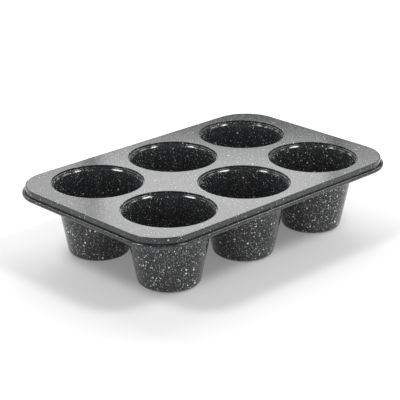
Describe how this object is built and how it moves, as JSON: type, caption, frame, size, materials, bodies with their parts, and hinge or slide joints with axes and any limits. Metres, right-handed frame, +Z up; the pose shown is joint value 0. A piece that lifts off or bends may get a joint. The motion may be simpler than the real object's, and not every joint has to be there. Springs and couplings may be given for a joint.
{
  "type": "popover pan",
  "caption": "Popover pan in speckled non-stick steel: deep tapered cups seamed into a flat deck with a rolled, wire-stiffened rim.",
  "frame": {"origin": "on the surface that the pan stands on, below the middle of its box", "axes": "+X along the pan's length, +Y across it from front to back, +Z up out of the cups' mouths"},
  "size_m": [0.3358, 0.2182, 0.0727],
  "materials": {
    "granite_coating": "charcoal non-stick coating with fine white specks, satin",
    "steel_wire": "bare drawn steel wire"
  },
  "bodies": {
    "root": {"deck": "granite_coating", "rim_wire": "steel_wire", "cup_front_left": "granite_coating", "cup_front_middle": "granite_coating", "cup_front_right": "granite_coating", "cup_back_left": "granite_coating", "cup_back_middle": "granite_coating", "cup_back_right": "granite_coating"}
  },
  "joints": []
}
